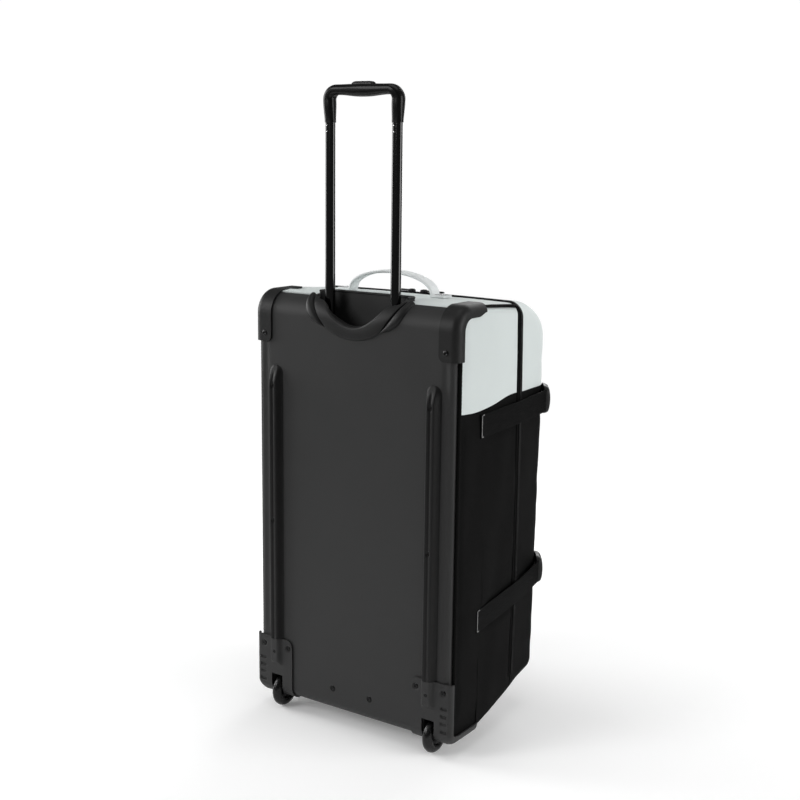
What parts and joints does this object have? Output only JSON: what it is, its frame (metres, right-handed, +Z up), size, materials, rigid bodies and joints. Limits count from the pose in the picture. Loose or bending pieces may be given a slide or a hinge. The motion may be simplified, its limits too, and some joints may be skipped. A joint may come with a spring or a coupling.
{
  "type": "travel bag",
  "caption": "Tall soft-sided wheeled travel bag with a stiff back panel, skid rails, corner guards, a zipped lid, compression straps and a telescopic pull handle.",
  "frame": {"origin": "on the floor under the middle of the bag's bounding box", "axes": "+Z up along the pull handle; +Y from the back panel to the lid; +X to the right seen from the back panel"},
  "size_m": [0.447, 0.3406, 1.1224],
  "materials": {
    "panel_plastic": "dark grey satin",
    "moulded_plastic": "black satin",
    "gloss_plastic": "black gloss",
    "black_tube": "black gloss",
    "bare_metal": "satin",
    "pale_cloth": "pale grey coated weave",
    "black_cloth": "black coated weave",
    "black_webbing": "black webbing",
    "pale_webbing": "pale webbing",
    "tyre": "black gloss"
  },
  "bodies": {
    "bag": {"back_panel": "panel_plastic", "handle_well": "moulded_plastic", "top_panel": "pale_cloth", "lid_upper": "pale_cloth", "base_panel": "black_cloth", "lid_lower": "black_cloth", "zip_band": "black_webbing", "strap_front_upper": "black_webbing", "strap_front_lower": "black_webbing", "carry_handle": "pale_webbing", "side_upper_left": "pale_cloth", "side_lower_left": "black_cloth", "zip_pull_left": "gloss_plastic", "piping_back_left": "black_webbing", "piping_top_left": "black_webbing", "trolley_sleeve_left": "bare_metal", "corner_guard_left": "moulded_plastic", "skid_rail_left": "moulded_plastic", "wheel_housing_left": "moulded_plastic", "wheel_axle_left": "bare_metal", "strap_upper_left": "black_webbing", "buckle_upper_left": "moulded_plastic", "strap_lower_left": "black_webbing", "buckle_lower_left": "moulded_plastic", "side_upper_right": "pale_cloth", "side_lower_right": "black_cloth", "zip_pull_right": "gloss_plastic", "piping_back_right": "black_webbing", "piping_top_right": "black_webbing", "trolley_sleeve_right": "bare_metal", "corner_guard_right": "moulded_plastic", "skid_rail_right": "moulded_plastic", "wheel_housing_right": "moulded_plastic", "wheel_axle_right": "bare_metal", "strap_upper_right": "black_webbing", "buckle_upper_right": "moulded_plastic", "strap_lower_right": "black_webbing", "buckle_lower_right": "moulded_plastic"},
    "trolley": {"trolley_tube_left": "black_tube", "trolley_tube_right": "black_tube", "trolley_grip": "gloss_plastic"},
    "button": {"release_button": "gloss_plastic"},
    "wheel_left": {"wheel_tyre_left": "tyre", "wheel_hub_left": "gloss_plastic"},
    "wheel_right": {"wheel_tyre_right": "tyre", "wheel_hub_right": "gloss_plastic"}
  },
  "joints": [
    {"name": "pull_handle", "type": "slide", "parent": "bag", "child": "trolley", "axis": [0, 0, 1], "range_m": [-0.342, 0]},
    {"name": "release_button", "type": "slide", "parent": "trolley", "child": "button", "axis": [0, 0, -1], "range_m": [0, 0.003], "stiffness_N_per_m": 800},
    {"name": "wheel_left", "type": "hinge", "parent": "bag", "child": "wheel_left", "pos_m": [-0.165, -0.1393, 0.031], "axis": [1, 0, 0], "continuous": true},
    {"name": "wheel_right", "type": "hinge", "parent": "bag", "child": "wheel_right", "pos_m": [0.165, -0.1393, 0.031], "axis": [1, 0, 0], "continuous": true}
  ]
}
